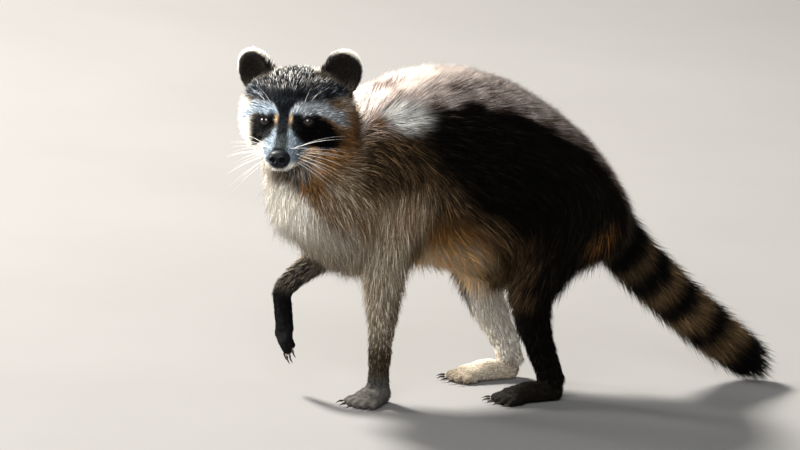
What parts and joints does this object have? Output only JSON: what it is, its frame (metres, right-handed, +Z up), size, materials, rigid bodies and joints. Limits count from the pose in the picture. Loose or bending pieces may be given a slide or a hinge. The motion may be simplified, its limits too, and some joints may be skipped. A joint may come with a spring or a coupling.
{
  "type": "raccoon",
  "caption": "Life-size raccoon walking with its right forepaw lifted and its head turned to its left, ringed tail trailing low.",
  "frame": {"origin": "on the floor, under the middle of the whole animal's bounding box", "axes": "-Y towards the nose end, +Y towards the tail, +X the animal's left, +Z up"},
  "size_m": [0.1712, 0.6278, 0.3585],
  "materials": {
    "coat_body": "long grizzled guard hair, dark brown and black with pale tips",
    "coat_neck": "long tan and grey grizzled fur, cream on the chest",
    "coat_head": "short grizzled fur with a black mask and white brow bands",
    "coat_leg": "grey-brown fur, shorter towards the paws",
    "coat_paw": "very short fur over bare pads",
    "coat_tail": "thick fur in black and buff rings",
    "nose": "moist, finely pebbled, glossy",
    "eye": "wet, dark brown",
    "claw": "dark horn, satin"
  },
  "bodies": {
    "root": {"head": "coat_head", "ear_left": "coat_head", "ear_right": "coat_head", "neck": "coat_neck", "trunk": "coat_body", "tail_root": "coat_tail", "tail_middle": "coat_tail", "tail_tip": "coat_tail", "foreleg_left_upper": "coat_leg", "foreleg_left_lower": "coat_leg", "forepaw_left": "coat_paw", "foreleg_right_upper": "coat_leg", "foreleg_right_lower": "coat_leg", "forepaw_right": "coat_paw", "thigh_left": "coat_leg", "shank_left": "coat_leg", "hindpaw_left": "coat_paw", "thigh_right": "coat_leg", "shank_right": "coat_leg", "hindpaw_right": "coat_paw", "nose": "nose", "eye_left": "eye", "eye_right": "eye", "claw_forepaw_left_1": "claw", "claw_forepaw_left_2": "claw", "claw_forepaw_left_3": "claw", "claw_forepaw_left_4": "claw", "claw_forepaw_left_5": "claw", "claw_forepaw_right_1": "claw", "claw_forepaw_right_2": "claw", "claw_forepaw_right_3": "claw", "claw_forepaw_right_4": "claw", "claw_forepaw_right_5": "claw", "claw_hindpaw_left_1": "claw", "claw_hindpaw_left_2": "claw", "claw_hindpaw_left_3": "claw", "claw_hindpaw_left_4": "claw", "claw_hindpaw_left_5": "claw", "claw_hindpaw_right_1": "claw", "claw_hindpaw_right_2": "claw", "claw_hindpaw_right_3": "claw", "claw_hindpaw_right_4": "claw", "claw_hindpaw_right_5": "claw"}
  },
  "joints": []
}
